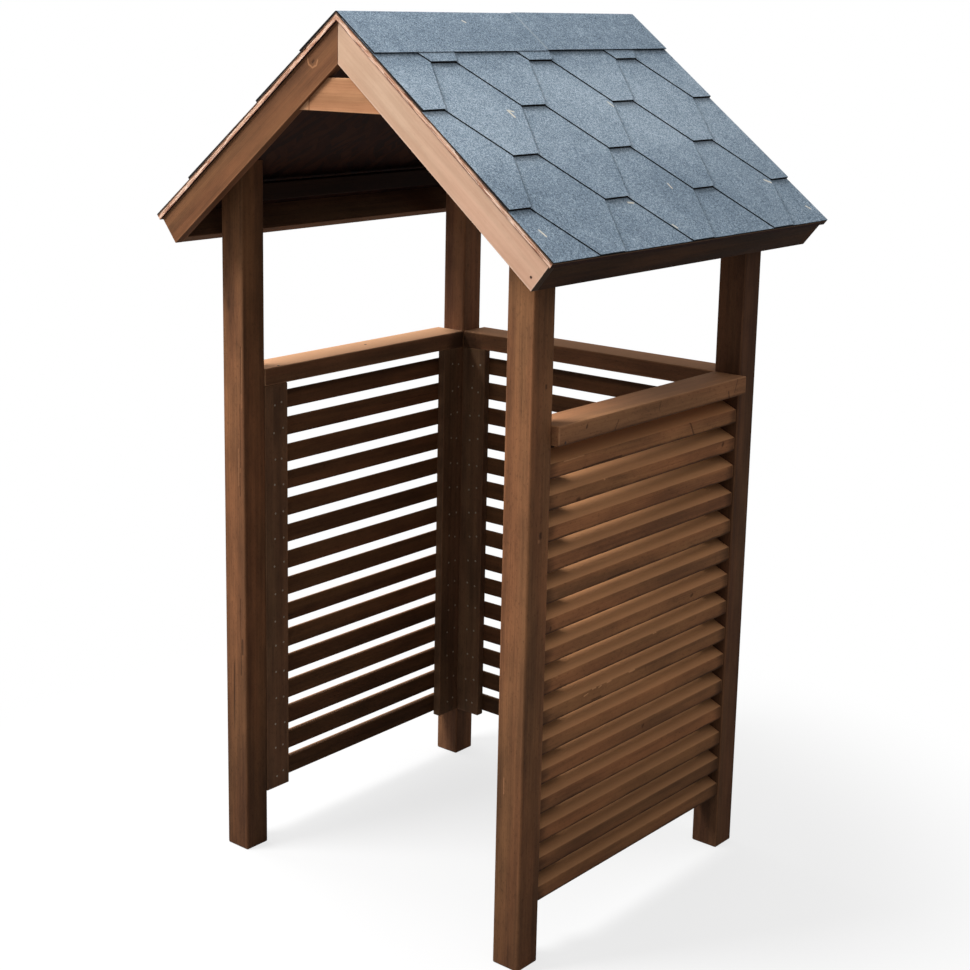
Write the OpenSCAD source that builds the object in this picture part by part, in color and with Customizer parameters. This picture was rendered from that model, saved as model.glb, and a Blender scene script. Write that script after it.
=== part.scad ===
// Louvred timber bin shelter with a gabled roof of hexagonal bitumen shingles.
// Millimetres. Z is up, the open front faces -Y, the origin is on the ground
// under the middle of the plan.

/* [Frame] */
// Width over the outer faces of the posts
frame_w = 916; // [880:1:960]
// Depth over the outer faces of the posts
frame_d = 872; // [850:1:920]
// Side of the square posts
post = 70; // [66:1:74]
// Rounding of the upright arrises of the posts
post_ease = 5; // [2:0.5:8]

/* [Louvred panels] */
// Number of slats in each panel
slat_count = 15; // [13:1:15]
// Height from one slat to the next
slat_pitch = 67.8; // [66:0.1:68]
// Height of the lowest slat above the ground
slat_low = 144; // [138:1:148]
// Height of the inner face of a slat
slat_h = 46; // [42:0.5:47]
// Fall of the weathered top of a slat
slat_fall = 18.5; // [12:0.5:22]
// Drop of the drip edge below the inner face of a slat
slat_drip = 4; // [0:0.5:6]
// Set back of the slats from the outer face of the posts
slat_back = 5; // [0:0.5:8]
// Rounding of the outer top edge of a slat
slat_ease = 4; // [2:1:6]
// Thickness of the upright stiles behind the slats
stile_t = 22; // [18:1:26]
// Width of the stiles
stile_w = 75; // [60:1:80]
// Height of the foot of the stiles above the ground
stile_low = 134; // [128:1:136]
// Height of the top of the cap rails
rail_top = 1205; // [1200:1:1220]
// Thickness of the cap rails
rail_t = 43; // [36:1:46]
// Overhang of the cap rails outside the posts
rail_over = 18; // [10:1:24]

/* [Roof] */
// Height of the peak of the gable boards
peak_z = 2012; // [2000:1:2060]
// Half span from the peak to the upper end of a gable board
half_span = 559; // [550:1:580]
// Fall of a gable board over that half span
roof_drop = 453; // [436:1:470]
// Overhang of the gable boards in front of the posts
gable_over = 90; // [80:1:120]
// Depth of the gable and eave boards
board_w = 69; // [64:1:76]
// Thickness of the gable boards
board_t = 22; // [18:1:28]
// Thickness of the eave boards
eave_t = 22; // [18:1:28]
// Drop from the peak to the top of the tie boards
tie_down = 117; // [112:1:126]
// Depth of the tie boards
tie_h = 70; // [60:1:80]
// Set back of the tie boards from the face of the gable boards
tie_back = 7; // [4:1:10]
// Thickness of the tie boards
tie_t = 15; // [10:1:15]
// Thickness of the strand board deck
deck_t = 9; // [9:1:12]
// Projection of the deck past the gable and eave boards
deck_over = 5; // [3:1:8]
// Height of the underside of the top plates
plate_low = 1597; // [1590:1:1597]
// Depth of the top plates
plate_h = 40; // [30:1:43]
// Thickness of the top plates
plate_t = 36; // [28:1:40]

/* [Shingles] */
// Thickness of a shingle
shingle_t = 2.8; // [2:0.1:3.2]
// Exposed height of a course
exposure = 143.2; // [142.6:0.2:145]
// Width from one tab to the next
tab_pitch = 333; // [325:1:345]
// Width of the flat end of a tab
tab_flat = 84; // [80:1:92]
// Place of the first tab along the roof
tab_start = 151; // [140:1:160]
// Length of the ridge cap down each slope
cap_len = 122; // [114:1:130]
// Outer radius of the bend of the cap over the ridge
cap_bend = 6; // [3:0.5:6]

/* [Hidden] */
$fn = 48;

half_w = frame_w / 2;
half_d = frame_d / 2;
panel_d = post - stile_t;
slat_d = panel_d - slat_back;
slat_top = atan(slat_fall / slat_d);
rail_w = post + rail_over;
rail_low = rail_top - rail_t;
side_run = frame_d - 2 * post;
back_run = frame_w - 2 * post;

pitch = atan(roof_drop / half_span);
board_len = half_span / cos(pitch);
gable_y = half_d + gable_over;
deck_len = board_len + deck_over;
deck_y = gable_y + deck_over;
lean = asin(shingle_t / exposure);
courses = 5;
// Length of a shingle up the slope: two exposures and a head lap
head_lap = 30;
shingle_l = 2 * exposure + head_lap;
tab_slope = (tab_pitch - 2 * tab_flat) / 2;
tabs_back = 2;
tabs_all = 6;
starter_w = exposure + head_lap;
slack = 400;

wood = "peru";
dark_wood = "saddlebrown";
board = "burlywood";
felt = "slategray";

// ---- placing ----

// Puts a shape drawn for the left side on the right side as well
module on_side(side) {
    mirror([side == "right" ? 1 : 0, 0, 0]) children();
}

// Turns a section drawn in X and Z into a bar along Y, centred on Y
module bar_y(len) {
    rotate([90, 0, 0])
        linear_extrude(len, center = true)
            children();
}

// Lays a flat shape on a slope: X runs down the slope, Z away from it
module on_slope(side) {
    mirror([side == "left" ? 1 : 0, 0, 0])
        translate([0, 0, peak_z])
            rotate([0, pitch, 0])
                children();
}

// ---- posts ----

// Square section of a post with rounded arrises
module post_section() {
    translate([0, post_ease]) square([post, post - 2 * post_ease]);
    translate([post_ease, 0]) square([post - 2 * post_ease, post]);
    for (x = [post_ease, post - post_ease])
        for (y = [post_ease, post - post_ease])
            translate([x, y]) circle(post_ease);
}

// The top of a post is cut to the slope and bears on the underside of the deck
module corner_post(x_side, y_side) {
    color(wood)
        mirror([x_side == "left" ? 1 : 0, 0, 0])
            mirror([0, y_side == "front" ? 1 : 0, 0])
                intersection() {
                    translate([half_w - post, half_d - post, 0])
                        linear_extrude(peak_z)
                            post_section();
                    translate([0, half_d - post / 2, 0])
                        bar_y(2 * post)
                            polygon([
                                [0, 0],
                                [half_span, 0],
                                [half_span, peak_z - roof_drop],
                                [0, peak_z]
                            ]);
                }
}

// ---- louvred panels ----
// A panel is drawn along Y with its outer face at X = 0 and its inside
// towards +X.

module slat_section() {
    difference() {
        polygon([
            [0, -slat_drip],
            [slat_d, 0],
            [slat_d, slat_h],
            [0, slat_h - slat_fall]
        ]);
        eased_arris();
    }
}

// Sliver outside the rounded upper outer edge of a slat
module eased_arris() {
    turn = 90 - slat_top;
    reach = slat_ease * tan(turn / 2);
    difference() {
        translate([-slat_ease, slat_h - slat_fall - reach])
            square([slat_ease + reach * cos(slat_top), 2 * reach]);
        translate([slat_ease, slat_h - slat_fall - reach])
            circle(slat_ease);
    }
}

module slat_stack(run) {
    color(dark_wood)
        for (i = [0 : slat_count - 1])
            translate([slat_back, 0, slat_low + i * slat_pitch])
                bar_y(run)
                    slat_section();
}

module cap_rail(run) {
    color(wood)
        translate([-rail_over, -run / 2, rail_low])
            cube([rail_w, run, rail_t]);
}

// One stile stands against the post at the -Y end, the other at the +Y end
module stile(run, far) {
    color(dark_wood)
        translate([panel_d, far ? run / 2 - stile_w : -run / 2, stile_low])
            cube([stile_t, stile_w, rail_low - stile_low]);
}

module to_left() {
    translate([-half_w, 0, 0]) children();
}

module to_back() {
    translate([0, half_d, 0]) rotate([0, 0, -90]) children();
}

// ---- roof timbers ----

module top_plate() {
    color(dark_wood)
        translate([-half_w, -side_run / 2, plate_low])
            cube([plate_t, side_run, plate_h]);
}

// One gable board, cut upright at the peak and square at the eave
module gable_board(x_side, y_side) {
    color(wood)
        mirror([0, y_side == "front" ? 1 : 0, 0])
            intersection() {
                on_slope(x_side)
                    translate([-board_w, gable_y - board_t, -board_w])
                        cube([board_len + board_w, board_t, board_w]);
                translate([x_side == "left" ? -2 * half_span : 0, 0, 0])
                    cube([2 * half_span, 2 * half_d, 2 * peak_z]);
            }
}

module eave_board(side) {
    color(dark_wood)
        on_slope(side)
            translate([board_len - eave_t, -gable_y + board_t, -board_w])
                cube([eave_t, 2 * (gable_y - board_t), board_w]);
}

// Tie board let in between the two gable boards below the peak
module tie_board(y_side) {
    lower = peak_z - board_w / cos(pitch);
    top = peak_z - tie_down;
    low = top - tie_h;
    color(board)
        mirror([0, y_side == "front" ? 1 : 0, 0])
            translate([0, gable_y - tie_back - tie_t / 2, 0])
                bar_y(tie_t)
                    polygon([
                        [-(lower - low) / tan(pitch), low],
                        [(lower - low) / tan(pitch), low],
                        [(lower - top) / tan(pitch), top],
                        [-(lower - top) / tan(pitch), top]
                    ]);
}

// Strand board deck, cut upright along the ridge
module deck(side) {
    color(board)
        intersection() {
            on_slope(side)
                translate([-slack, -deck_y, 0])
                    cube([deck_len + slack, 2 * deck_y, deck_t]);
            translate([side == "left" ? -slack * 2 : 0, -deck_y, 0])
                cube([slack * 2, 2 * deck_y, 2 * peak_z]);
        }
}

// ---- shingles ----
// A course is drawn flat: X runs down the slope from the ridge, Y along it.

// Lower edge of a course, as a zigzag from one end of the roof to the other
function zigzag(low, shift) = [
    for (i = [-tabs_back : tabs_all])
        each [
            [low, shift + i * tab_pitch],
            [low, shift + i * tab_pitch + tab_flat],
            [low - exposure, shift + i * tab_pitch + tab_flat + tab_slope],
            [low - exposure, shift + (i + 1) * tab_pitch - tab_slope]
        ]
];

// Outline of a course from its zigzag edge up to its head
module course_outline(low, shift) {
    first = shift - tabs_back * tab_pitch;
    last = shift + (tabs_all + 1) * tab_pitch - tab_slope;
    polygon(concat(
        zigzag(low, shift),
        [[low - shingle_l, last], [low - shingle_l, first]]
    ));
}

// Leans a course so that it lies on the one below and its head on the deck
module leaned(low) {
    translate([low - shingle_l, 0, deck_t])
        rotate([0, -lean, 0])
            translate([-(low - shingle_l), 0, 0])
                children();
}

// Course number 1 is at the eave
module course(side, number) {
    low = deck_len - (number - 1) * exposure;
    shift = tab_start - deck_y + (number % 2 == 0 ? tab_pitch / 2 : 0) - tab_pitch;
    color(felt)
        intersection() {
            on_slope(side)
                leaned(low)
                    linear_extrude(shingle_t)
                        course_outline(low, shift);
            translate([side == "left" ? -slack * 2 : 0, -deck_y, 0])
                cube([slack * 2, 2 * deck_y, 2 * peak_z]);
        }
}

// Straight strip that packs up the lowest course along the eave
module starter(side) {
    rise = tan(lean);
    color(felt)
        on_slope(side)
            bar_y(2 * deck_y)
                polygon([
                    [deck_len - starter_w, deck_t],
                    [deck_len, deck_t],
                    [deck_len, deck_t + shingle_l * rise],
                    [deck_len - starter_w, deck_t + (shingle_l - starter_w) * rise]
                ]);
}

// Sliver outside the bend of the cap, along the whole ridge
module cap_sliver(top) {
    slope = pitch - lean;
    side = cap_bend * sin(slope);
    foot = top - side * tan(slope);
    bar_y(2 * deck_y + 2)
        difference() {
            polygon([[-side, foot], [side, foot], [side, top + 1], [-side, top + 1]]);
            translate([0, top - cap_bend / cos(slope)]) circle(cap_bend);
        }
}

// Cap bent over the ridge, lying on the top course of both slopes
module ridge_cap() {
    low = deck_len - (courses - 1) * exposure;
    head = deck_t - (low - shingle_l) * tan(lean) + 2 * shingle_t / cos(lean);
    top = peak_z + head / (1 + tan(pitch) * tan(lean)) / cos(pitch);
    color(felt)
        difference() {
            for (side = ["left", "right"])
                intersection() {
                    on_slope(side)
                        leaned(low)
                            translate([-slack, -deck_y, shingle_t])
                                cube([slack + cap_len, 2 * deck_y, shingle_t]);
                    translate([side == "left" ? -slack * 2 : 0, -deck_y, 0])
                        cube([slack * 2, 2 * deck_y, 2 * peak_z]);
                }
            cap_sliver(top);
        }
}

// ---- what is drawn ----

corner_post("left", "front");  // post_front_left
corner_post("right", "front");  // post_front_right
corner_post("left", "back");  // post_back_left
corner_post("right", "back");  // post_back_right
to_left() cap_rail(side_run);  // rail_left
on_side("right") to_left() cap_rail(side_run);  // rail_right
to_back() cap_rail(back_run);  // rail_back
to_left() stile(side_run, false);  // stile_left_front
to_left() stile(side_run, true);  // stile_left_back
on_side("right") to_left() stile(side_run, false);  // stile_right_front
on_side("right") to_left() stile(side_run, true);  // stile_right_back
to_back() stile(back_run, false);  // stile_back_left
to_back() stile(back_run, true);  // stile_back_right
to_left() slat_stack(side_run);  // slats_left
on_side("right") to_left() slat_stack(side_run);  // slats_right
to_back() slat_stack(back_run);  // slats_back
top_plate();  // top_plate_left
on_side("right") top_plate();  // top_plate_right
gable_board("left", "front");  // gable_front_left
gable_board("right", "front");  // gable_front_right
gable_board("left", "back");  // gable_back_left
gable_board("right", "back");  // gable_back_right
eave_board("left");  // eave_board_left
eave_board("right");  // eave_board_right
tie_board("front");  // tie_front
tie_board("back");  // tie_back_gable
deck("left");  // deck_left
deck("right");  // deck_right
starter("left");  // starter_left
starter("right");  // starter_right
course("left", 1);  // course_left_1
course("left", 2);  // course_left_2
course("left", 3);  // course_left_3
course("left", 4);  // course_left_4
course("left", 5);  // course_left_5
course("right", 1);  // course_right_1
course("right", 2);  // course_right_2
course("right", 3);  // course_right_3
course("right", 4);  // course_right_4
course("right", 5);  // course_right_5
ridge_cap();
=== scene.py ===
"""Finish of a louvred timber bin shelter with a roof of hexagonal bitumen shingles.

Metres, Z up, the open front faces -Y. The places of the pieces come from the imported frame.
"""
import math
import random

import bpy
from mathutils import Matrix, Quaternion, Vector


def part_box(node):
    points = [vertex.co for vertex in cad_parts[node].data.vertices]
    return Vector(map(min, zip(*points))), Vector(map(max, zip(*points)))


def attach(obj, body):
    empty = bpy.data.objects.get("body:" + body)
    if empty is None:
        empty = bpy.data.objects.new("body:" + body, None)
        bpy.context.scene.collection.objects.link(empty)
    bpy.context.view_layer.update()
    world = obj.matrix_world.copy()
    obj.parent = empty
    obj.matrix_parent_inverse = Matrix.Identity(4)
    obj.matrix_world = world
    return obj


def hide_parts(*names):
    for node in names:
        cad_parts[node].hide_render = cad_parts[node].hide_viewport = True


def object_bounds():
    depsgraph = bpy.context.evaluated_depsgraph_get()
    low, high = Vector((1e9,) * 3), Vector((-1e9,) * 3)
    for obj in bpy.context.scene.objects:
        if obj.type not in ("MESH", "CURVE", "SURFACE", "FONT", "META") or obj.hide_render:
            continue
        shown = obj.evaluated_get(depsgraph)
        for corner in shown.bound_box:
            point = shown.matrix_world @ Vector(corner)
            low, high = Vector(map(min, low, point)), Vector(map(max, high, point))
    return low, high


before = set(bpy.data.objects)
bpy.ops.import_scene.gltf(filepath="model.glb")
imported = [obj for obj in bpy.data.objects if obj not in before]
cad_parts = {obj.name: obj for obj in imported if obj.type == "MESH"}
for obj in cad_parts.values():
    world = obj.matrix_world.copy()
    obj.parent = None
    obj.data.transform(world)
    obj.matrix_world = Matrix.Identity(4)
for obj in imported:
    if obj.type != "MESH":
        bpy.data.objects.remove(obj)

cad_low, cad_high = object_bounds()

BODY = "root"
FRONT = Vector((0, -1, 0))
UP = Vector((0, 0, 1))
ALONG_X = Vector((1, 0, 0))
ALONG_Y = Vector((0, 1, 0))
LOOK_RIGHT = Vector((1, 0, 0))
LOOK_LEFT = Vector((-1, 0, 0))

# Sizes that the boxes of the nodes don't give. The ridge lap is measured from the roof's front edge.
DECK_THICKNESS = 0.009
SLAT_COUNT = 15
SLAT_PITCH = 0.0678
SLAT_HEIGHT = 0.046
RIDGE_LAP = 0.582
RIDGE_SINK = 0.0018

# How far the arrises of each kind of board are rounded
POST_ARRIS = 0.006
RAIL_ARRIS = 0.003
FRAMING_ARRIS = 0.002
BOARD_ARRIS = 0.0015
GABLE_ARRIS = 0.0012
SLAT_ARRIS = 0.0009

# Points of a node closer than this are one point
MERGE_WITHIN = 0.00002

# Edges that turn by less than FLAT_UNDER aren't edges, those over EASE_OVER are arrises,
# and those over CRISP_OVER stay crisp where nothing is rounded
FLAT_UNDER = math.radians(0.5)
EASE_OVER = math.radians(40)
CRISP_OVER = math.radians(35)

# Radius and height of the nail heads
STILE_NAIL = (0.0026, 0.0007)
RAIL_NAIL = (0.0032, 0.0008)
GABLE_NAIL = (0.0028, 0.0006)

# Height of the stile nails above the foot of their slat
NAIL_RISE = 0.028


# ---- places on the shelter, worked out from its nodes ----

def roof_pitch():
    """Angle of the roof, from the box round a sloping deck of known thickness."""
    low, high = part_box("deck_right")
    run = high.x - low.x
    rise = high.z - low.z
    rounds = 20
    guess = math.atan2(rise, run)
    for _ in range(rounds):
        deck_rise = DECK_THICKNESS / math.cos(guess)
        deck_run = DECK_THICKNESS * math.sin(guess)
        guess = math.atan2(rise - deck_rise, run - deck_run)
    return guess


PITCH = roof_pitch()
PEAK_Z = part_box("deck_right")[1].z
ROOF_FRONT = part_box("deck_right")[0].y
LAP_Y = ROOF_FRONT + RIDGE_LAP

# The ridge and the top of the deck, on axes that run down the slope and straight out of it
RIDGE_DOWN = -PEAK_Z * math.sin(PITCH)
DECK_TOP = PEAK_Z * math.cos(PITCH)
DOWN_SLOPE = {
    "left": Vector((-math.cos(PITCH), 0, -math.sin(PITCH))),
    "right": Vector((math.cos(PITCH), 0, -math.sin(PITCH))),
}

PANEL_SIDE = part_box("slats_right")[1].x
PANEL_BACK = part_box("slats_back")[1].y
PANEL_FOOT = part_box("slats_right")[0].z
PANEL_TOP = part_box("slats_right")[1].z
POST_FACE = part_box("post_front_right")[0].y
POST_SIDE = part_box("post_front_right")[1].x
GABLE_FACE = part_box("gable_front_right")[0].y


# ---- shader nodes written as sums ----

def srgb(red, green, blue):
    """Linear colour for the 0 to 255 numbers of a colour picker."""
    def linear(level):
        level = level / 255
        return level / 12.92 if level <= 0.04045 else ((level + 0.055) / 1.055) ** 2.4
    return (linear(red), linear(green), linear(blue), 1.0)


BLACK = (0.0, 0.0, 0.0, 1.0)
WHITE = (1.0, 1.0, 1.0, 1.0)


class Wire:
    """A node's output. Sums written with it add Math nodes."""

    def __init__(self, finish, socket):
        self.finish = finish
        self.socket = socket

    def __add__(self, other):
        return self.finish.math("ADD", self, other)

    def __radd__(self, other):
        return self.finish.math("ADD", other, self)

    def __sub__(self, other):
        return self.finish.math("SUBTRACT", self, other)

    def __rsub__(self, other):
        return self.finish.math("SUBTRACT", other, self)

    def __mul__(self, other):
        return self.finish.math("MULTIPLY", self, other)

    def __rmul__(self, other):
        return self.finish.math("MULTIPLY", other, self)

    def __truediv__(self, other):
        return self.finish.math("DIVIDE", self, other)

    def __gt__(self, other):
        return self.finish.math("GREATER_THAN", self, other)

    def __lt__(self, other):
        return self.finish.math("LESS_THAN", self, other)

    def __abs__(self):
        return self.finish.math("ABSOLUTE", self)


class Finish:
    """One procedural material, wired up around its Principled shader."""

    def __init__(self, name):
        self.material = bpy.data.materials.new(name)
        self.material.use_nodes = True
        self.tree = self.material.node_tree
        self.shader = self.tree.nodes["Principled BSDF"]

    def feed(self, socket, value):
        if isinstance(value, Wire):
            self.tree.links.new(socket, value.socket)
        else:
            socket.default_value = value

    def node(self, kind, settings=None, inputs=None, output=0):
        made = self.tree.nodes.new(kind)
        for key, value in (settings or {}).items():
            if key == "stops":
                self.set_stops(made.color_ramp, value)
            else:
                setattr(made, key, value)
        for key, value in (inputs or {}).items():
            self.feed(made.inputs[key], value)
        return Wire(self, made.outputs[output])

    def set_stops(self, ramp, stops):
        while len(ramp.elements) < len(stops):
            ramp.elements.new(0.5)
        for element, (position, colour) in zip(ramp.elements, stops):
            element.position = position
            element.color = colour

    def ramp(self, level, stops):
        return self.node("ShaderNodeValToRGB", {"stops": stops}, {0: level})

    def math(self, operation, *values):
        return self.node("ShaderNodeMath", {"operation": operation}, dict(enumerate(values)))

    def vector(self, operation, *values, output="Vector"):
        inputs = dict(enumerate(values))
        return self.node("ShaderNodeVectorMath", {"operation": operation}, inputs, output)

    def length(self, vector):
        return self.vector("LENGTH", vector, output="Value")

    def dot(self, vector, direction):
        return self.vector("DOT_PRODUCT", vector, direction, output="Value")

    def split(self, vector):
        made = self.node("ShaderNodeSeparateXYZ", None, {0: vector})
        outputs = made.socket.node.outputs
        return [Wire(self, outputs[i]) for i in range(3)]

    def join(self, x, y, z):
        return self.node("ShaderNodeCombineXYZ", None, {0: x, 1: y, 2: z})

    def attribute(self, name, output="Vector"):
        return self.node("ShaderNodeAttribute", {"attribute_name": name}, output=output)

    def here(self):
        """The place of a point, in the object's own coordinates."""
        return self.node("ShaderNodeTexCoord", output="Object")

    def facing(self):
        """The direction that the surface faces."""
        return self.node("ShaderNodeNewGeometry", output="Normal")

    def noise(self, vector, scale=1.0, detail=2.0, roughness=0.5):
        inputs = {"Vector": vector, "Scale": scale, "Detail": detail, "Roughness": roughness}
        return self.node("ShaderNodeTexNoise", None, inputs)

    def cell_reach(self, vector):
        """Distance from the middle of the nearest cell."""
        return self.node("ShaderNodeTexVoronoi", None, {"Vector": vector, "Scale": 1.0}, "Distance")

    def cell_pick(self, vector, scale=1.0):
        """A level that is the same all over a cell and differs from cell to cell."""
        cell = self.node("ShaderNodeTexVoronoi", None, {"Vector": vector, "Scale": scale}, "Color")
        return self.node("ShaderNodeSeparateColor", None, {0: cell})

    def smooth(self, value, low, high):
        """0 below low, 1 above high, with an eased step between."""
        inputs = {0: value, 1: low, 2: high, 3: 0.0, 4: 1.0}
        return self.node("ShaderNodeMapRange", {"interpolation_type": "SMOOTHSTEP"}, inputs)

    def mix(self, factor, first, second, blend="MIX"):
        settings = {"data_type": "RGBA", "blend_type": blend}
        return self.node("ShaderNodeMix", settings, {0: factor, 6: first, 7: second}, 2)

    def dimmed(self, colour, share):
        """The colour less a share of itself."""
        left = 1 - share
        return self.mix(1.0, colour, self.join(left, left, left), "MULTIPLY")

    def shine(self, colour, roughness, height, depth, specular):
        """Feeds the shader: colour, roughness and a bump of that depth in metres."""
        bump = self.node("ShaderNodeBump", None, {"Height": height, "Distance": depth, "Strength": 1.0})
        self.feed(self.shader.inputs["Base Color"], colour)
        self.feed(self.shader.inputs["Roughness"], roughness)
        self.feed(self.shader.inputs["Normal"], bump)
        self.shader.inputs["Specular IOR Level"].default_value = specular
        return self.material


def near(f, marks, soft, ragged, place=None):
    """1 on the marks, each a start, an end, a reach and, if it has one, its own softness.

    soft is how much of the reach a mark fades over, ragged how far its outline wavers.
    """
    place = place or f.here()
    waver = (f.noise(place, 160.0, detail=3.0) - 0.5) * ragged
    shown = None
    for start, end, reach, *own in marks:
        blur = own[0] if own else soft
        start = Vector(start)
        way = Vector(end) - start
        length = way.length
        way = way / length
        off = f.vector("SUBTRACT", place, tuple(start))
        along = f.dot(off, tuple(way))
        held = f.math("MINIMUM", f.math("MAXIMUM", along, 0.0), length)
        closest = f.node("ShaderNodeVectorMath", {"operation": "SCALE"}, {0: tuple(way), "Scale": held})
        distance = f.length(f.vector("SUBTRACT", off, closest)) / reach + waver
        spot = 1 - f.smooth(distance, 1 - blur, 1 + blur)
        shown = spot if shown is None else f.math("MAXIMUM", shown, spot)
    return shown


# ---- wood ----

RING_WIDTH = 0.0042


def drawn_out(f, grain, along, across, detail=2.0, roughness=0.5):
    """Noise drawn out along the grain, by how often it changes in a metre along and across."""
    return f.noise(f.vector("MULTIPLY", grain, (along, across, across)), 1.0, detail, roughness)


def knots(f, grain):
    """The knots, and the darker wood round each. One cell in five of the log holds a knot."""
    spread = f.vector("MULTIPLY", grain, (3.2, 9.0, 9.0))
    reach = f.cell_reach(spread)
    picked = f.cell_pick(spread) > 0.80
    knot = picked * (1 - f.smooth(reach, 0.05, 0.10))
    halo = picked * (1 - f.smooth(reach, 0.06, 0.34))
    return knot, halo


def late_wood(f, grain, halo):
    """The dense late wood of each yearly ring, which bends round the knots."""
    waver = drawn_out(f, grain, 1.1, 8.0, detail=3.0)
    from_pith = f.length(f.vector("MULTIPLY", grain, (0.0, 1.0, 1.0)))
    ring = f.math("FRACT", from_pith / RING_WIDTH + waver * 7.0 + halo * 2.0)
    return f.smooth(ring, 0.30, 0.80) - f.smooth(ring, 0.86, 1.0)


def drying_splits(f, grain):
    """Fine splits along the grain, in a few places only."""
    line = abs(drawn_out(f, grain, 0.5, 30.0, detail=1.0) - 0.5)
    spot = f.smooth(drawn_out(f, grain, 3.0, 6.0), 0.60, 0.68)
    return (1 - f.smooth(line, 0.0, 0.005)) * spot


def insets(f):
    """Distance from the nearer end of a piece, and from its nearest arris.

    Of the distances from its three pairs of faces, the middle one is small only near an arris.
    """
    from_middle = f.vector("ABSOLUTE", f.attribute("place"))
    x, y, z = f.split(f.vector("SUBTRACT", f.attribute("half"), from_middle))
    least = f.math("MINIMUM", x, f.math("MINIMUM", y, z))
    most = f.math("MAXIMUM", x, f.math("MAXIMUM", y, z))
    return x, x + y + z - least - most


def painted_panel_shade(f, colour, ink, ragged):
    """Paints shade on a slat for its place in the panel, by its depth behind the panel's outer face."""
    x, y, z = f.split(f.here())
    out = f.math("MAXIMUM", abs(x), y + (PANEL_SIDE - PANEL_BACK))
    deep = PANEL_SIDE - out

    # painted shade: steep faces darken towards the bay
    steep = 1 - f.smooth(f.split(f.facing())[2], 0.4, 0.8)
    colour = f.dimmed(colour, 0.55 * steep * f.smooth(deep, 0.006, 0.043))

    # painted shade: the top darkens where the slat above laps it
    frayed_deep = deep + (ragged - 0.5) * 0.010
    lap = f.smooth(frayed_deep, 0.018, 0.026) - f.smooth(deep, 0.030, 0.036)
    colour = f.dimmed(colour, 0.55 * (1 - steep) * lap)

    # painted shade: the highest slat darkens under the rail
    frayed_z = z + (ragged - 0.5) * 0.008
    colour = f.dimmed(colour, 0.60 * f.smooth(frayed_z, PANEL_TOP - 0.021, PANEL_TOP - 0.005))

    # painted shadow line along the drip edge
    above_foot = z - (PANEL_FOOT - 0.0002)
    rise = f.math("MODULO", above_foot, SLAT_PITCH)
    drip = (1 - f.smooth(rise + (ragged - 0.5) * 0.007, 0.0016, 0.0066)) * steep
    return f.mix(drip * 0.86, colour, ink)


def painted_backing_shade(f, colour):
    """Paints shade on the faces of a stile that the slats are nailed to."""
    x = f.split(f.here())[0]
    facing_x, facing_y, _ = f.split(f.facing())
    outward = f.math("MAXIMUM", facing_y, facing_x * f.math("SIGN", x))
    return f.dimmed(colour, 0.6 * f.smooth(outward, 0.5, 0.9))


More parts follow.
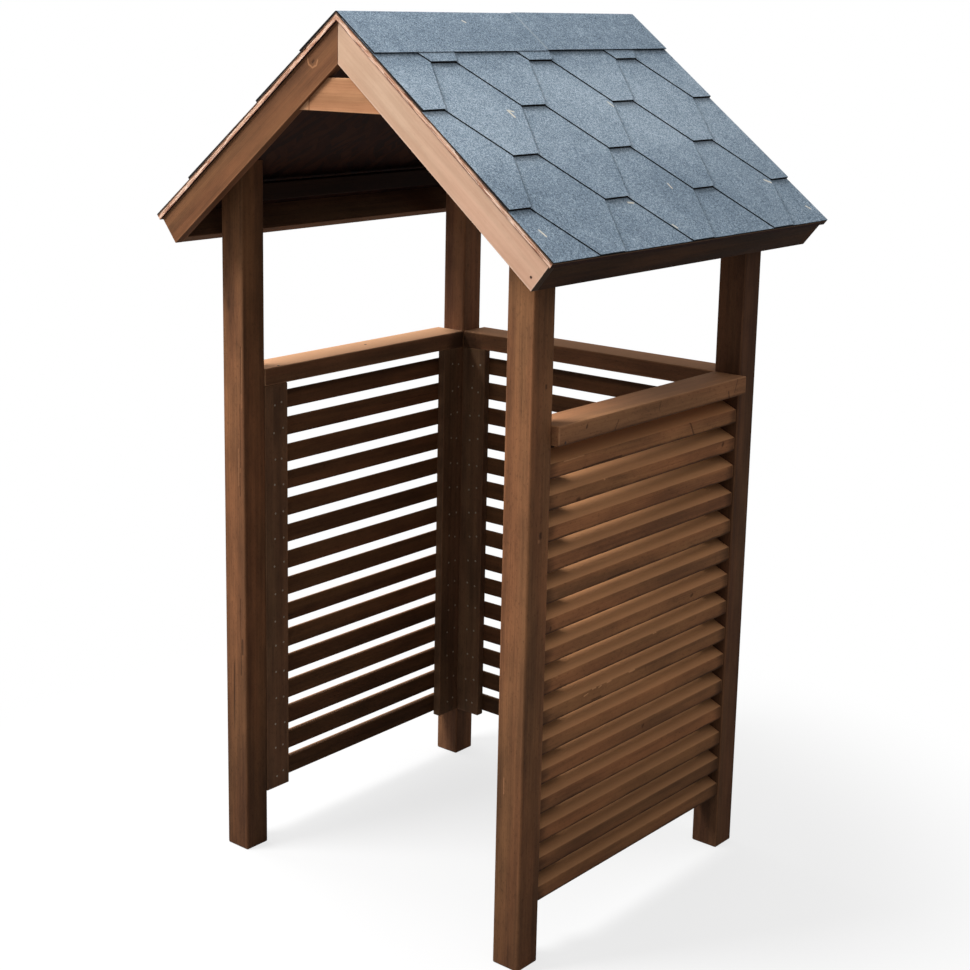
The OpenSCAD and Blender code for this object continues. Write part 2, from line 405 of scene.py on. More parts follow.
def sawn_wood(name, pale, dark, worn, wear=0.3, top_light_and_weather=0.0, foot_dark=0.0, gritty=0.42, dark_ends=0.0,
              shaded_ends=0.0, marks=(), flecks=(), shade_and_dark_lines=(), in_shaded_panel=False, is_backed=False):
    """Impregnated softwood between a pale and a dark stain, with a worn colour underneath.

    wear shows the worn colour on the arrises, top_light_and_weather on top faces as painted light with
    weathering, and flecks in spots.
    foot_dark darkens towards the foot, gritty sets the dark specks, dark_ends darkens the cut ends and
    shaded_ends paints shade by them.
    It reads the grain, place, half and tone that lay_grain leaves on a piece.
    """
    f = Finish(name)
    grain = f.attribute("grain")
    tone = f.attribute("tone", "Fac")
    ink = f.mix(0.8, dark, BLACK)

    # the wood as it grew and was sawn
    knot, halo = knots(f, grain)
    late = late_wood(f, grain, halo)
    split = drying_splits(f, grain)
    fibre = drawn_out(f, grain, 9.0, 460.0, detail=3.0, roughness=0.6)
    streak = drawn_out(f, grain, 0.9, 34.0)
    stripe = drawn_out(f, grain, 3.0, 95.0, detail=3.0, roughness=0.6)
    blotch = drawn_out(f, grain, 3.6, 10.0, detail=5.0, roughness=0.65)
    ruddy = drawn_out(f, grain, 1.6, 14.0, detail=3.0)
    grit = drawn_out(f, grain, 110.0, 230.0, detail=4.0, roughness=0.7)
    ragged = drawn_out(f, grain, 16.0, 70.0, detail=3.0)

    # the stain that it took
    level = 0.82 * streak + 0.46 * stripe + 0.34 * fibre + 1.20 * blotch - 0.05 * late - 0.90
    colour = f.mix(f.smooth(level, 0.05, 0.95), dark, pale)
    hue = f.mix(f.smooth(ruddy, 0.35, 0.65), (0.96, 1.01, 1.00, 1.0), (1.04, 0.99, 0.98, 1.0))
    colour = f.mix(1.0, colour, hue, "MULTIPLY")
    colour = f.mix(1.0, colour, f.join(tone, tone, tone), "MULTIPLY")
    colour = f.mix(halo * 0.22, colour, ink)
    colour = f.mix(knot * 0.6, colour, ink)
    colour = f.mix(split * 0.6, colour, ink)
    colour = f.mix(f.smooth(grit, 0.52, 0.74) * gritty, colour, ink)

    # its arrises and cut ends
    from_end, from_arris = insets(f)
    arris = 1 - f.smooth(from_arris + (ragged - 0.5) * 0.005, 0.0004, 0.0045)
    colour = f.mix(arris * wear, colour, worn)
    if dark_ends:
        colour = f.dimmed(colour, (1 - f.smooth(from_end, 0.0003, 0.0012)) * dark_ends)
    # painted shade near the cut ends, where the slats meet the posts
    if shaded_ends:
        end_shade = 1 - f.smooth(from_end + (ragged - 0.5) * 0.040, 0.004, 0.042)
        colour = f.mix(end_shade * shaded_ends, colour, ink)

    # painted shade and light for where it sits on the shelter, and darker towards the foot
    if in_shaded_panel:
        colour = painted_panel_shade(f, colour, ink, ragged)
    if is_backed:
        colour = painted_backing_shade(f, colour)
    # painted light from above, with weathering: top faces turn towards the worn colour
    if top_light_and_weather:
        up = f.split(f.facing())[2]
        colour = f.mix(f.smooth(up, 0.5, 0.95) * top_light_and_weather, colour, worn)
    # darker towards the foot
    if foot_dark:
        height = f.split(f.here())[2]
        colour = f.mix((1 - f.smooth(height, 0.0, 0.75)) * foot_dark, colour, BLACK)

    # painted shade, dark lines, scars and flecks in their own places
    relief = 0.5 * fibre + 0.25 * stripe + 0.2 * late - 1.4 * split - 0.5 * knot + 0.4 * ragged
    if shade_and_dark_lines:
        colour = f.mix(near(f, shade_and_dark_lines, soft=0.35, ragged=0.6) * 0.75, colour, ink)
    if marks:
        scar = near(f, marks, soft=0.6, ragged=1.2)
        colour = f.mix(scar * 0.62, colour, ink)
        relief = relief - 1.5 * scar
    if flecks:
        fleck = near(f, flecks, soft=0.6, ragged=1.4)
        colour = f.mix(fleck * 0.6, colour, worn)
        relief = relief + 0.8 * fleck
    return f.shine(colour, 0.62 + 0.2 * streak, relief, depth=0.0004, specular=0.16)


# ---- strand board, shingle and steel ----

def roof_place(f):
    """Place on the roof as on a flat sheet: down the slope, along the ridge, out of the slope."""
    x, y, z = f.split(f.here())
    flat = f.join(abs(x), y, z)
    down = f.dot(flat, (math.cos(PITCH), 0.0, -math.sin(PITCH)))
    out = f.dot(flat, (math.sin(PITCH), 0.0, math.cos(PITCH)))
    return f.join(down, y, out)


def roof_facing(f):
    """1 on a face that looks straight out of the roof, -1 on its underside."""
    x, _, z = f.split(f.facing())
    side = f.math("SIGN", f.split(f.here())[0])
    return x * side * math.sin(PITCH) + z * math.cos(PITCH)


def strand_board(name):
    """Strand board: flakes every way round in thin layers, with painted shade on the faces that look down.
    """
    f = Finish(name)
    sheet = roof_place(f)
    layers = []
    for turn in (0.5, -0.7):
        turned = f.node("ShaderNodeVectorRotate", {"rotation_type": "Z_AXIS"}, {0: sheet, "Angle": turn})
        layers.append(f.vector("MULTIPLY", turned, (14.0, 55.0, 900.0)))
    flake = f.cell_pick(layers[0])
    other = f.cell_pick(layers[1])
    first_shows = f.cell_pick(f.vector("ADD", layers[0], (7.0, 3.0, 5.0))) > 0.5
    value = first_shows * flake + (1 - first_shows) * other
    fibre = f.noise(f.vector("MULTIPLY", sheet, (60.0, 900.0, 900.0)))
    stops = [
        (0.0, srgb(112, 66, 48)),
        (0.30, srgb(182, 128, 98)),
        (0.65, srgb(226, 184, 156)),
        (1.0, srgb(246, 222, 204)),
    ]
    colour = f.ramp(value * 0.85 + fibre * 0.15, stops)

    _, y, z = f.split(f.facing())
    on_gable = f.smooth(abs(y), 0.3, 0.6)
    from_foot = f.split(sheet)[2] - DECK_TOP + DECK_THICKNESS
    foot = 1 - f.smooth(from_foot + (flake - 0.5) * 0.0016, 0.0008, 0.0024)
    colour = f.mix(foot * on_gable * 0.8, colour, srgb(92, 48, 34))

    # painted shade: the faces that look down, the underside and the edge at the eave, darken
    under = (1 - f.smooth(z, -0.45, -0.15)) * f.smooth(1 - abs(y), 0.3, 0.6)
    tint = f.mix(1.0, colour, srgb(66, 44, 33), "MULTIPLY")
    colour = f.mix(under, colour, tint)
    return f.shine(colour, 0.75 + 0.1 * value, value + 0.3 * fibre, depth=0.0005, specular=0.3)


def granules(name, scuffs):
    """Mineral-faced bitumen: blue-grey granules on the weather side, black felt elsewhere."""
    f = Finish(name)
    sheet = roof_place(f)
    grain = f.cell_pick(sheet, 620.0)
    clump = f.noise(sheet, 210.0)
    mottle = f.noise(sheet, 22.0, detail=3.0)
    cloud = f.noise(sheet, 3.2)
    down = f.split(sheet)[0] - RIDGE_DOWN
    middle = f.smooth(down, 0.10, 0.24) - f.smooth(down, 0.40, 0.56)
    level = 0.80 * grain + 0.60 * clump + 0.30 * mottle + 0.30 * cloud + 0.20 * middle - 0.60
    stops = [(0.0, srgb(86, 101, 116)), (0.5, srgb(138, 157, 174)), (1.0, srgb(198, 212, 224))]
    stone = f.ramp(level, stops)

    felt = f.mix(clump, srgb(14, 14, 15), srgb(34, 32, 32))
    off_deck = f.split(sheet)[2] - DECK_TOP
    frayed = 1 - f.smooth(off_deck + (clump - 0.5) * 0.003, 0.0022, 0.0040)
    felt = f.mix(frayed * 0.8, felt, srgb(118, 88, 68))
    colour = f.mix(f.smooth(roof_facing(f), 0.7, 0.9), felt, stone)

    # the left slope has the scuffs of the right one, end for end
    x, y, _ = f.split(f.here())
    on_slope = f.join(down, y * f.math("SIGN", x), 0.0)
    scuff = near(f, scuffs, soft=0.4, ragged=0.5, place=on_slope)
    colour = f.mix(scuff * 0.9, colour, srgb(232, 226, 210))
    on_cap = down < 0.125
    seam = 1 - f.smooth(abs(y - LAP_Y + (clump - 0.5) * 0.004), 0.0008, 0.0022)
    colour = f.mix(seam * on_cap * 0.6, colour, srgb(176, 186, 194))
    return f.shine(colour, 0.9 - 0.1 * grain, 0.6 * grain + clump, depth=0.0009, specular=0.15)


def nail_metal(name, dull, bright):
    """Weathered metal of the nail heads."""
    f = Finish(name)
    spangle = f.noise(f.here(), 900.0, detail=3.0)
    colour = f.mix(spangle, dull, bright)
    f.shader.inputs["Metallic"].default_value = 0.2
    return f.shine(colour, 0.35 + 0.3 * spangle, spangle, depth=0.0002, specular=0.5)


# ---- splits, scars and flecks that stand out, each a start, an end and a reach ----

def on_post_front(x, low, high, reach):
    """A mark up the front face of a post."""
    return ((x, POST_FACE, low), (x, POST_FACE, high), reach)


def on_post_side(y, low, high, reach):
    """A mark up the outer face of the front right post."""
    return ((POST_SIDE, y, low), (POST_SIDE, y, high), reach)


def on_slat(number, start, end, rise_start, rise_end, reach):
    """A mark on the outer face of a slat of the right panel, counted from the top."""
    base = PANEL_TOP - SLAT_HEIGHT - SLAT_PITCH * (number - 1)
    return ((PANEL_SIDE, start, base + rise_start), (PANEL_SIDE, end, base + rise_end), reach)


def on_rail(along, start, end, lean, reach):
    """A split on the outer face of the right rail, by its share of the rail's length and height."""
    low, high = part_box("rail_right")
    y = low.y + along * (high.y - low.y)
    height = high.z - low.z
    return ((high.x, y, low.z + start * height), (high.x, y + lean, low.z + end * height), reach)


def on_roof(down, along, way, length, reach):
    """A scuff on the right slope, by its place down the slope and back from the front edge.

    way is the angle it lies at, from straight down the slope.
    """
    turn = math.radians(way)
    step = Vector((math.cos(turn), math.sin(turn), 0)) * (length / 2)
    middle = Vector((down, ROOF_FRONT + along, 0))
    return (middle - step, middle + step, reach)


post_marks = [
    on_post_front(-0.396, 1.155, 1.266, 0.0011),
    on_post_front(-0.400, 0.975, 1.128, 0.0010),
    on_post_front(-0.402, 0.905, 0.960, 0.0012),
    on_post_front(-0.404, 0.455, 0.648, 0.0012),
    on_post_front(-0.399, 0.510, 0.545, 0.0030),
    on_post_side(-0.396, 0.973, 0.980, 0.0045),
    on_post_side(-0.391, 1.288, 1.292, 0.0030),
]
post_flecks = [
    on_post_front(-0.394, 1.120, 1.262, 0.0008),
    on_post_front(-0.407, 0.930, 1.020, 0.0009),
    on_post_front(0.409, 0.402, 0.438, 0.0013),
    on_post_side(-0.402, 0.964, 0.966, 0.0030),
]
slat_marks = [
    on_slat(1, 0.166, 0.184, 0.030, -0.003, 0.0026),
    on_slat(1, -0.248, -0.104, -0.001, 0.001, 0.0016),
    on_slat(2, -0.263, -0.258, 0.000, 0.001, 0.0050),
    on_slat(2, 0.311, 0.314, 0.018, 0.022, 0.0042),
    on_slat(5, -0.140, -0.060, 0.000, 0.002, 0.0012),
    on_slat(6, -0.346, -0.345, 0.004, 0.007, 0.0032),
    on_slat(7, 0.205, 0.209, 0.012, 0.014, 0.0036),
    on_slat(9, -0.185, -0.150, 0.002, 0.002, 0.0012),
    on_slat(11, 0.020, 0.024, 0.014, 0.015, 0.0036),
]
slat_flecks = [
    # a painted highlight along the arris of the top slat
    on_slat(1, -0.315, -0.244, 0.026, 0.027, 0.0014),
    on_slat(2, -0.167, -0.164, 0.0275, 0.0275, 0.0022),
    on_slat(9, -0.215, -0.200, 0.020, 0.022, 0.0014),
    on_slat(9, -0.183, -0.170, 0.027, 0.0275, 0.0016),
    on_slat(9, -0.160, -0.150, 0.024, 0.026, 0.0014),
    on_slat(9, -0.128, -0.112, 0.027, 0.0275, 0.0016),
    on_slat(9, -0.042, -0.020, 0.027, 0.0275, 0.0018),
    on_slat(8, 0.050, 0.062, 0.027, 0.0275, 0.0014),
]
rail_marks = [
    on_rail(0.93, 0.25, 0.95, 0.012, 0.0012),
    on_rail(0.90, 0.00, 0.40, -0.004, 0.0022),
    on_rail(0.50, 0.45, 0.90, 0.006, 0.0010),
    on_rail(0.27, 0.05, 0.55, 0.014, 0.0012),
    on_rail(0.13, 0.60, 0.70, 0.002, 0.0030),
]
roof_scuffs = [
    on_roof(0.324, 0.262, 10, 0.020, 0.0031),
    on_roof(0.316, 0.270, 70, 0.012, 0.0023),
    on_roof(0.310, 0.636, 20, 0.016, 0.0023),
    on_roof(0.572, 0.579, 0, 0.014, 0.0022),
    on_roof(0.604, 0.397, 80, 0.016, 0.0026),
    on_roof(0.687, 0.465, 30, 0.012, 0.0023),
    on_roof(0.655, 0.043, 15, 0.018, 0.0026),
    on_roof(0.592, 0.966, 60, 0.020, 0.0029),
    on_roof(0.686, 1.032, 40, 0.012, 0.0026),
    on_roof(0.029, 0.377, 50, 0.008, 0.0023),
]

# A knot near the peak of the left gable board, and the pale grain that curls round it
gable_knots = [((-0.072, GABLE_FACE, 1.925), (-0.069, GABLE_FACE, 1.928), 0.0024, 1.0)]
gable_swirl = [
    ((-0.088, GABLE_FACE, 1.934), (-0.084, GABLE_FACE, 1.921), 0.0017, 1.0),
    ((-0.084, GABLE_FACE, 1.921), (-0.073, GABLE_FACE, 1.914), 0.0017, 1.0),
    ((-0.073, GABLE_FACE, 1.914), (-0.061, GABLE_FACE, 1.919), 0.0017, 1.0),
    ((-0.061, GABLE_FACE, 1.919), (-0.058, GABLE_FACE, 1.930), 0.0015, 1.0),
]

# Painted shade under the rails in the back left corner, and a dark line along the lower edge of the right
# rail
corner_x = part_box("rail_left")[1].x
corner_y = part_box("rail_back")[0].y
corner_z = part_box("rail_left")[0].z
corner_shade = [((corner_x, corner_y, corner_z - 0.012), (corner_x, corner_y, corner_z - 0.010), 0.060)]
rail_low, rail_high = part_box("rail_right")
rail_edge_line = [((rail_high.x, rail_low.y, rail_low.z), (rail_high.x, rail_high.y, rail_low.z), 0.0045, 0.8)]

# A dark line down the front tie board, and the pale patch beside it
tie_low, tie_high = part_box("tie_front")
tie_seam = [((-0.090, tie_low.y, tie_low.z), (-0.086, tie_low.y, tie_high.z), 0.0012)]
tie_patch = [((-0.106, tie_low.y, tie_low.z + 0.004), (-0.100, tie_low.y, tie_low.z + 0.016), 0.0080)]


# ---- finishes ----

worn_stain = srgb(168, 118, 82)
front_post_finish = sawn_wood("post_wood", srgb(153, 103, 68), srgb(94, 62, 41), worn_stain, wear=0.22,
                              foot_dark=0.40, marks=post_marks, flecks=post_flecks)
back_post_finish = sawn_wood("post_wood_back", srgb(149, 102, 70), srgb(92, 61, 42), worn_stain, wear=0.22)
right_rail_finish = sawn_wood("rail_wood", srgb(178, 123, 84), srgb(120, 80, 55), srgb(212, 156, 112),
                              top_light_and_weather=0.3, marks=rail_marks, shade_and_dark_lines=rail_edge_line)
# The left and back rails, inside the bay, take darker wood: painted shade on their sides
left_rail_finish = sawn_wood("rail_wood_left", srgb(138, 95, 65), srgb(98, 66, 45), srgb(232, 176, 133),
                             top_light_and_weather=0.85, shade_and_dark_lines=corner_shade)
back_rail_finish = sawn_wood("rail_wood_back", srgb(146, 100, 68), srgb(104, 70, 47), srgb(220, 162, 118),
                             wear=0.35, top_light_and_weather=0.62, shade_and_dark_lines=corner_shade)
# The slats' arrises wear pale, strongly enough to stand also as a painted highlight
slat_finish = sawn_wood("slat_wood", srgb(175, 118, 77), srgb(115, 76, 50), srgb(224, 162, 112),
                        wear=0.50, top_light_and_weather=0.62, foot_dark=0.38, shaded_ends=0.6, marks=slat_marks,
                        flecks=slat_flecks, in_shaded_panel=True)
# The stiles, and the left eave board that shares their finish, take painted shade on the faces that look
# out of the bay
stile_finish = sawn_wood("stile_wood", srgb(132, 96, 69), srgb(84, 59, 43), worn_stain, wear=0.12,
                         is_backed=True)
# The top plates, deep under the roof, take near-black wood: painted shade
plate_finish = sawn_wood("plate_wood", srgb(50, 31, 20), srgb(30, 18, 12), srgb(54, 34, 22), wear=0.1)
# The front right gable board is drawn paler: painted sunlight
sunlit_gable_finish = sawn_wood("gable_wood_pale", srgb(214, 176, 150), srgb(192, 152, 126),
                              srgb(230, 200, 178), wear=0.4, gritty=0.08, dark_ends=0.88)
gable_finish = sawn_wood("gable_wood", srgb(138, 92, 60), srgb(88, 57, 37), srgb(176, 124, 86),
                         gritty=0.16, dark_ends=0.6, marks=gable_knots, flecks=gable_swirl)
tie_finish = sawn_wood("tie_wood", srgb(190, 136, 98), srgb(150, 102, 70), srgb(214, 164, 124),
                       gritty=0.10, marks=tie_seam, flecks=tie_patch)
# The right eave board, facing down under the shingles, takes dark wood: painted shade
eave_finish = sawn_wood("eave_wood", srgb(80, 53, 35), srgb(42, 27, 18), srgb(104, 72, 50), wear=0.12)
deck_finish = strand_board("strand_board")
shingle_finish = granules("shingle", roof_scuffs)
steel_finish = nail_metal("nail_steel", srgb(146, 130, 112), srgb(204, 188, 168))
rust_finish = nail_metal("nail_rust", srgb(46, 30, 22), srgb(92, 62, 44))

# How much darker than its finish a board is drawn; on the back right post and the left eave board this is
# painted shade
SHADES = {
    "post_back_right": 0.62,
    "gable_front_left": 0.80,
    "gable_back_left": 0.80,
    "rail_left": 0.92,
    "rail_right": 0.92,
    "eave_board_left": 0.95,
}


# ---- timber ----

def only(pieces):
    """Makes the pieces the selected objects, and the first of them the active one."""
    bpy.ops.object.select_all(action="DESELECT")
    for piece in pieces:
        piece.select_set(True)
    bpy.context.view_layer.objects.active = pieces[0]


def blank(node, name):
    """A copy of a CAD node with its points merged and its flat faces made whole, left selected."""
    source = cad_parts[node]
    piece = bpy.data.objects.new(name, source.data.copy())
    bpy.context.scene.collection.objects.link(piece)
    piece.data.materials.clear()
    only([piece])
    bpy.ops.mesh.customdata_custom_splitnormals_clear()
    bpy.ops.object.mode_set(mode="EDIT")
    bpy.ops.mesh.select_all(action="SELECT")
    bpy.ops.mesh.remove_doubles(threshold=MERGE_WITHIN)
    bpy.ops.mesh.dissolve_limited(angle_limit=FLAT_UNDER)
    bpy.ops.object.mode_set(mode="OBJECT")
    return piece


def ease(piece, width, segments=3):
    """Rounds the arrises of a piece and keeps its faces flat."""
    only([piece])
    bevel = piece.modifiers.new("arris", "BEVEL")
    bevel.width = width
    bevel.segments = segments
    bevel.limit_method = "ANGLE"
    bevel.angle_limit = EASE_OVER
    bpy.ops.object.shade_smooth()
    bpy.ops.object.modifier_apply(modifier=bevel.name)
    flat = piece.modifiers.new("flat", "WEIGHTED_NORMAL")
    flat.mode = "FACE_AREA"
    flat.keep_sharp = False
    bpy.ops.object.modifier_apply(modifier=flat.name)


def span(piece, direction):
    """Middle and half length of a piece along a direction."""
    along = [direction.dot(point.co) for point in piece.data.vertices]
    return (max(along) + min(along)) / 2, (max(along) - min(along)) / 2


def lay_grain(piece, along, shade=1.0):
    """Leaves on each point what sawn_wood reads, with every piece cut from its own place in a log.

    grain is the place in the log, place that in the piece, half the piece's half size.
    """
    pith = 0.045
    log_length = 40
    draw = random.Random(piece.name)
    side = along.cross(FRONT if abs(along.dot(FRONT)) < 0.9 else UP).normalized()
    axes = (along, side, along.cross(side))
    spans = [span(piece, axis) for axis in axes]
    half = [reach for _, reach in spans]
    turn = draw.uniform(0, 2 * math.pi)
    shift = (draw.uniform(0, log_length), pith * math.cos(turn), pith * math.sin(turn))
    tone = draw.uniform(0.92, 1.08) * shade
    mesh = piece.data
    count = len(mesh.vertices)
    grain = []
    place = []
    for point in mesh.vertices:
        here = [axis.dot(point.co) - middle for axis, (middle, _) in zip(axes, spans)]
        place.extend(here)
        grain.extend(a + b for a, b in zip(here, shift))
    for name, values in (("grain", grain), ("place", place), ("half", half * count)):
        mesh.attributes.new(name, "FLOAT_VECTOR", "POINT").data.foreach_set("vector", values)
    mesh.attributes.new("tone", "FLOAT", "POINT").data.foreach_set("value", [tone] * count)


def fit(piece, node, material):
    """Puts a finished piece in place of its CAD node."""
    piece.data.materials.append(material)
    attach(piece, BODY)
    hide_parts(node)


def timber(node, along, arris, material):
    """A board or post in place of its CAD node, with its grain along a direction."""
    piece = blank(node, node + "_timber")
    ease(piece, arris)
    lay_grain(piece, along, SHADES.get(node, 1.0))
    fit(piece, node, material)


def slat_panel(node, along):
    """The slats of a panel, each sawn from its own place in the log."""
    blank(node, node + "_loose")
    bpy.ops.object.mode_set(mode="EDIT")
    bpy.ops.mesh.select_all(action="SELECT")
    bpy.ops.mesh.separate(type="LOOSE")
    bpy.ops.object.mode_set(mode="OBJECT")
    slats = sorted(bpy.context.selected_objects, key=lambda slat: slat.bound_box[0][2])
    for number, slat in enumerate(slats):
        slat.name = f"{node}_{number + 1}"
        ease(slat, SLAT_ARRIS, segments=2)
        lay_grain(slat, along)
    only(slats)
    bpy.ops.object.join()
    slats[0].name = node + "_timber"
    fit(slats[0], node, slat_finish)


for y_side in ("front", "back"):
    for x_side in ("left", "right"):
        post_finish = front_post_finish if y_side == "front" else back_post_finish
        timber(f"post_{y_side}_{x_side}", UP, POST_ARRIS, post_finish)
        gable = f"gable_{y_side}_{x_side}"
        tint = sunlit_gable_finish if gable == "gable_front_right" else gable_finish
        timber(gable, DOWN_SLOPE[x_side], GABLE_ARRIS, tint)
for x_side in ("left", "right"):
    rail_finish = right_rail_finish if x_side == "right" else left_rail_finish
    timber(f"rail_{x_side}", ALONG_Y, RAIL_ARRIS, rail_finish)
    timber(f"stile_{x_side}_front", UP, FRAMING_ARRIS, stile_finish)
    timber(f"stile_{x_side}_back", UP, FRAMING_ARRIS, stile_finish)
    timber(f"stile_back_{x_side}", UP, FRAMING_ARRIS, stile_finish)
    timber(f"top_plate_{x_side}", ALONG_Y, FRAMING_ARRIS, plate_finish)
    board_finish = eave_finish if x_side == "right" else stile_finish
    timber(f"eave_board_{x_side}", ALONG_Y, BOARD_ARRIS, board_finish)
    slat_panel(f"slats_{x_side}", ALONG_Y)
timber("rail_back", ALONG_X, RAIL_ARRIS, back_rail_finish)
slat_panel("slats_back", ALONG_X)
timber("tie_front", ALONG_X, BOARD_ARRIS, tie_finish)
timber("tie_back_gable", ALONG_X, BOARD_ARRIS, tie_finish)


# ---- nails ----

def nail_head(radius, depth):
    """A nail head as it stands on a board that faces up: a disc with an eased rim and a low crown."""
    sides = 10
    ring = radius * 0.35
    bpy.ops.object.select_all(action="DESELECT")
    bpy.ops.mesh.primitive_cylinder_add(vertices=sides, radius=radius, depth=depth,
                                        location=(0, 0, depth / 2))
    head = bpy.context.active_object
    bpy.ops.object.mode_set(mode="EDIT")
    bpy.ops.mesh.select_all(action="DESELECT")
    bpy.ops.object.mode_set(mode="OBJECT")
    for face in head.data.polygons:
        face.select = face.normal.z > 0.9
    bpy.ops.object.mode_set(mode="EDIT")
    bpy.ops.mesh.inset(thickness=ring, depth=depth * 0.35)
    bpy.ops.mesh.inset(thickness=ring, depth=depth * 0.10)
    bpy.ops.object.mode_set(mode="OBJECT")
    return head


def drive_nails(name, places, facing, size, material):
    """Copies of one nail head at places, driven into a surface that looks towards facing."""
    pattern = nail_head(*size)
    heads = []
    for place in places:
        head = pattern.copy()
        head.data = pattern.data.copy()
        bpy.context.scene.collection.objects.link(head)
        head.rotation_mode = "QUATERNION"
        head.rotation_quaternion = facing.to_track_quat("Z", "Y")
        head.location = place
        heads.append(head)
    bpy.data.objects.remove(pattern)
    only(heads)
    bpy.ops.object.transform_apply(location=True, rotation=True, scale=True)
    if len(heads) > 1:
        bpy.ops.object.join()
    nails = heads[0]
    nails.name = name
    only([nails])
    bpy.ops.object.shade_smooth_by_angle(angle=CRISP_OVER)
    nails.data.materials.append(material)
    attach(nails, BODY)


def stile_nails(stile, facing):
    """A pair of nails for each slat, each a little astray, on the stile's face towards the bay."""
    draw = random.Random(stile)
    low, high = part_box(stile)
    face = high if sum(facing) > 0 else low
    shares = (0.42, 0.76)
    stray = 0.05
    lift = 0.006
    places = []
    for number in range(SLAT_COUNT):
        level = PANEL_FOOT + NAIL_RISE + SLAT_PITCH * number
        for share in shares:
            place = low + (high - low) * (share + draw.uniform(-stray, stray))
            place.z = level + draw.uniform(-lift, lift)
            if facing.x:
                place.x = face.x
            else:
                place.y = face.y
            places.append(place)
    drive_nails(stile.replace("stile", "nails"), places, facing, STILE_NAIL, steel_finish)


rail_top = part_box("rail_left")[1].z
left_places = [
    Vector((-0.394, -0.316, rail_top)),
    Vector((-0.435, 0.033, rail_top)),
    Vector((-0.440, 0.372, rail_top)),
]
right_place = Vector((rail_high.x, -0.344, rail_low.z + 0.006))
gable_place = Vector((0.515, GABLE_FACE, 1.534))
drive_nails("nails_rail_left", left_places, UP, RAIL_NAIL, rust_finish)
drive_nails("nail_rail_right", [right_place], LOOK_RIGHT, RAIL_NAIL, rust_finish)
drive_nails("nail_gable_right", [gable_place], FRONT, GABLE_NAIL, rust_finish)
stile_nails("stile_left_front", LOOK_RIGHT)
stile_nails("stile_left_back", LOOK_RIGHT)
stile_nails("stile_right_front", LOOK_LEFT)
stile_nails("stile_right_back", LOOK_LEFT)
stile_nails("stile_back_left", FRONT)
stile_nails("stile_back_right", FRONT)


# ---- roof covering ----

def lap_ridge(cut, drop):
    """Cuts the ridge cap in two strips and sinks the front one, so that the rear one laps it."""
    strips = []
    for name, forward in (("ridge_cap_front", True), ("ridge_cap_back", False)):
        strip = blank("ridge_cap", name)
        bpy.ops.object.mode_set(mode="EDIT")
        bpy.ops.mesh.select_all(action="SELECT")
        bpy.ops.mesh.bisect(plane_co=(0, cut, 0), plane_no=(0, 1, 0), use_fill=True,
                            clear_outer=forward, clear_inner=not forward)
        if forward:
            bpy.ops.mesh.select_all(action="SELECT")
            bpy.ops.transform.translate(value=(0, 0, -drop))
        bpy.ops.object.mode_set(mode="OBJECT")
        strips.append(strip)
    only(strips)
    bpy.ops.object.join()
    strips[0].name = "ridge_cap_strips"
    only([strips[0]])
    bpy.ops.object.shade_smooth_by_angle(angle=CRISP_OVER)
    fit(strips[0], "ridge_cap", shingle_finish)


lap_ridge(LAP_Y, RIDGE_SINK)

# The decks and the shingle courses keep the shape of their nodes; the hidden nodes are replaced
for name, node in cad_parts.items():
    if node.hide_render:
        continue
    node.data.materials.clear()
    node.data.materials.append(deck_finish if name.startswith("deck") else shingle_finish)


# ---- floor, light and camera ----

def whitened(name):
    """Pale floor: it keeps the shadow near the object and runs out to white."""
    shadow_grey = (0.80, 0.80, 0.80, 1.0)
    bounce_grey = (0.30, 0.30, 0.30, 1.0)
    least_white = 0.74
    f = Finish(name)
    away = f.length(f.here())
    share = least_white + (1 - least_white) * f.smooth(away, 0.8, 1.6)
    diffuse = f.node("ShaderNodeBsdfDiffuse", None, {"Color": shadow_grey})
    white = f.node("ShaderNodeEmission", None, {"Color": WHITE, "Strength": 1.0})
    seen = f.node("ShaderNodeMixShader", None, {0: share, 1: diffuse, 2: white})
    unseen = f.node("ShaderNodeBsdfDiffuse", None, {"Color": bounce_grey})
    camera_ray = f.node("ShaderNodeLightPath", output="Is Camera Ray")
    shown = f.node("ShaderNodeMixShader", None, {0: camera_ray, 1: unseen, 2: seen})
    f.tree.links.new(f.tree.nodes["Material Output"].inputs["Surface"], shown.socket)
    return f.material


def lay_floor():
    """A plain floor under the shelter, wide enough to fill every view."""
    side = 60.0
    bpy.ops.object.select_all(action="DESELECT")
    bpy.ops.mesh.primitive_plane_add(size=side, location=(0.0, 0.0, 0.0))
    floor = bpy.context.active_object
    floor.name = "floor"
    floor.data.materials.append(whitened("floor_white"))


def direction_to(azimuth, elevation):
    """Unit vector from the shelter: azimuth 0 is the front, 90 the right, elevation 90 overhead."""
    turn = math.radians(azimuth)
    lift = math.radians(elevation)
    return Vector((math.sin(turn) * math.cos(lift), -math.cos(turn) * math.cos(lift), math.sin(lift)))


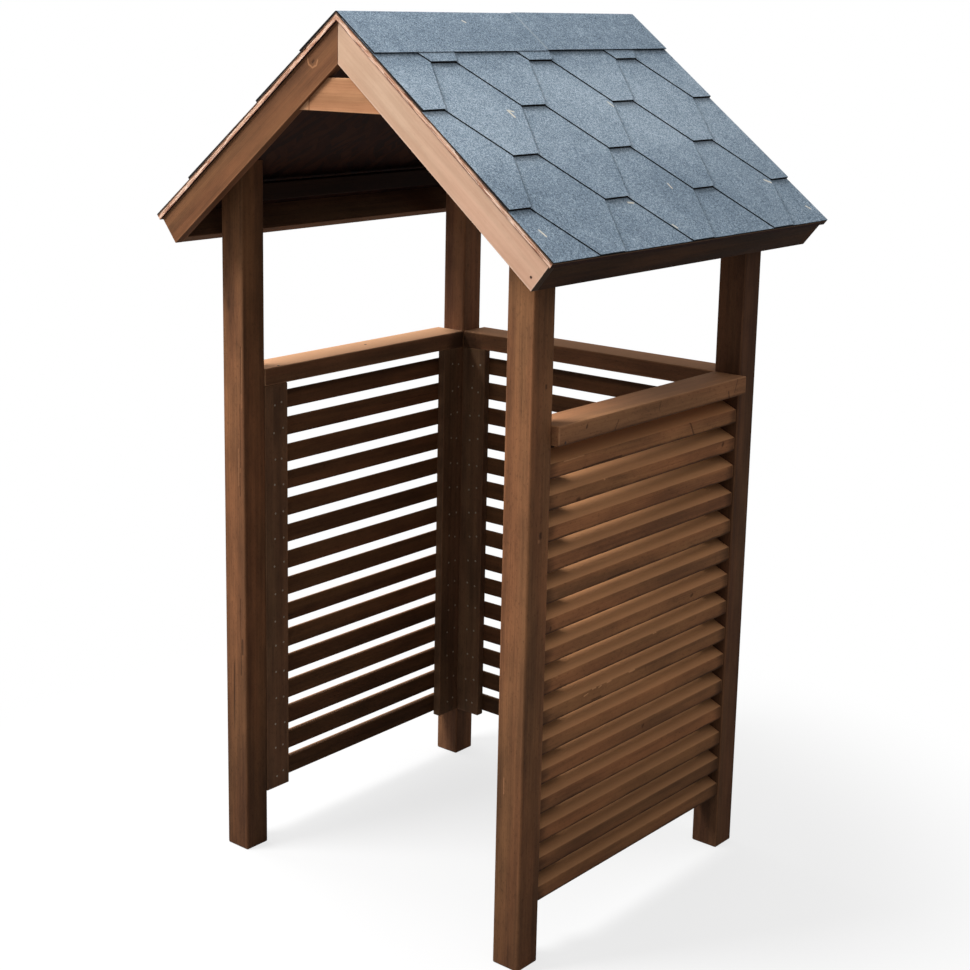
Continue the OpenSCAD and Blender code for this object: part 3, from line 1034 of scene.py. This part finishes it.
def hang_lamp(name, azimuth, elevation, distance, size, power):
    """A square soft box that looks at the middle of the shelter."""
    middle = (cad_low + cad_high) / 2
    towards = direction_to(azimuth, elevation)
    lamp = bpy.data.lights.new(name, "AREA")
    lamp.size = size
    lamp.energy = power
    holder = bpy.data.objects.new(name, lamp)
    holder.location = middle + towards * distance
    holder.rotation_mode = "QUATERNION"
    holder.rotation_quaternion = (-towards).to_track_quat("-Z", "Y")
    bpy.context.scene.collection.objects.link(holder)


def light_world(low, high):
    """Sky that is softer near the ground than overhead, plain white behind the object."""
    world = bpy.data.worlds.new("studio")
    world.use_nodes = True
    bpy.context.scene.world = world
    nodes = world.node_tree.nodes
    links = world.node_tree.links
    direction = nodes.new("ShaderNodeTexCoord")
    height = nodes.new("ShaderNodeSeparateXYZ")
    sky = nodes.new("ShaderNodeMapRange")
    sky.inputs["To Min"].default_value = low
    sky.inputs["To Max"].default_value = high
    path = nodes.new("ShaderNodeLightPath")
    level = nodes.new("ShaderNodeMapRange")
    level.inputs["To Max"].default_value = 1.0
    links.new(height.inputs[0], direction.outputs["Generated"])
    links.new(sky.inputs["Value"], height.outputs["Z"])
    links.new(level.inputs["Value"], path.outputs["Is Camera Ray"])
    links.new(level.inputs["To Min"], sky.outputs[0])
    links.new(nodes["Background"].inputs["Strength"], level.outputs[0])
    nodes["Background"].inputs["Color"].default_value = WHITE


def set_camera():
    """Stands off the front right corner, level with the ridge, and looks a little down."""
    back = direction_to(41.495, 12.271)
    roll = math.radians(0.615)
    camera = bpy.data.cameras.new("camera")
    camera.sensor_width = 36.0
    camera.lens = 65.364
    camera.shift_x = 0.0831
    camera.shift_y = -0.0876
    holder = bpy.data.objects.new("camera", camera)
    holder.location = (2.5591, -3.1999, 2.0199)
    holder.rotation_mode = "QUATERNION"
    holder.rotation_quaternion = (-back).to_track_quat("-Z", "Y") @ Quaternion((0, 0, 1), roll)
    bpy.context.scene.collection.objects.link(holder)
    bpy.context.scene.camera = holder


lay_floor()
hang_lamp("key", azimuth=-35.0, elevation=51.0, distance=5.5, size=1.9, power=364.0)
hang_lamp("side", azimuth=-86.0, elevation=34.0, distance=5.5, size=3.0, power=80.0)
light_world(low=0.17, high=0.80)
set_camera()
bpy.context.scene.view_settings.view_transform = "Standard"
